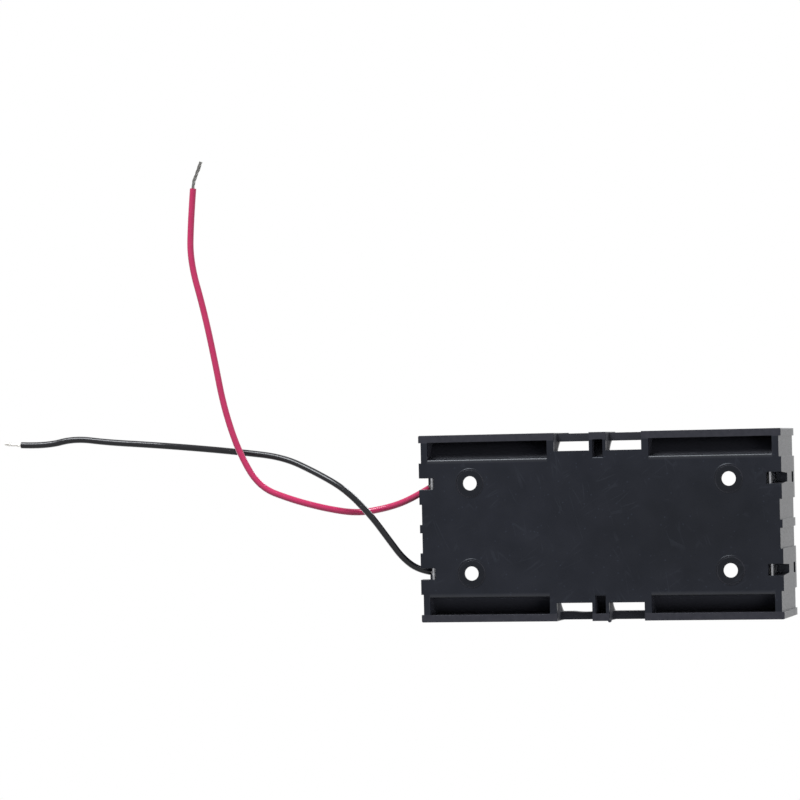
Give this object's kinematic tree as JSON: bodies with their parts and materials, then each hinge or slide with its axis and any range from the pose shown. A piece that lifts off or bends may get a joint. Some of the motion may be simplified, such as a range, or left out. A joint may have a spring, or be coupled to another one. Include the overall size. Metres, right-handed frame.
{
  "type": "cylindrical cell holder",
  "caption": "Open black moulded tray that holds cylindrical cells side by side in series, with sprung contacts, screw holes and a red and a black lead.",
  "frame": {"origin": "middle of the flat base, in the plane that it rests and is screwed down on", "axes": "+X along the cells, away from the end that the leads leave; +Y across, towards the bay with the black lead; +Z out of the open side, the way a cell is lifted out"},
  "size_m": [0.1701, 0.0998, 0.02],
  "materials": {
    "black_plastic": "black moulded plastic, satin underside",
    "nickel_plate": "nickel-plated sheet steel",
    "spring_wire": "nickel-plated spring wire",
    "red_insulation": "soft crimson insulation",
    "black_insulation": "soft black insulation",
    "tinned_strands": "twisted tinned copper strands",
    "solder": "dull tin solder"
  },
  "bodies": {
    "holder": {"tray": "black_plastic", "positive_contact": "nickel_plate", "negative_contact": "nickel_plate", "series_link": "nickel_plate", "red_lead": "red_insulation", "black_lead": "black_insulation", "red_lead_tip": "tinned_strands", "black_lead_tip": "tinned_strands", "red_solder_joint": "solder", "black_solder_joint": "solder"},
    "red_bay_coil": {"red_bay_spring": "spring_wire"},
    "black_bay_coil": {"black_bay_spring": "spring_wire"}
  },
  "joints": [
    {"name": "red_bay_spring_press", "type": "slide", "parent": "holder", "child": "red_bay_coil", "axis": [1, 0, 0], "range_m": [0, 0.0042], "stiffness_N_per_m": 5000, "deforming": ["red_bay_spring"]},
    {"name": "black_bay_spring_press", "type": "slide", "parent": "holder", "child": "black_bay_coil", "axis": [1, 0, 0], "range_m": [0, 0.0042], "stiffness_N_per_m": 5000, "deforming": ["black_bay_spring"]}
  ]
}
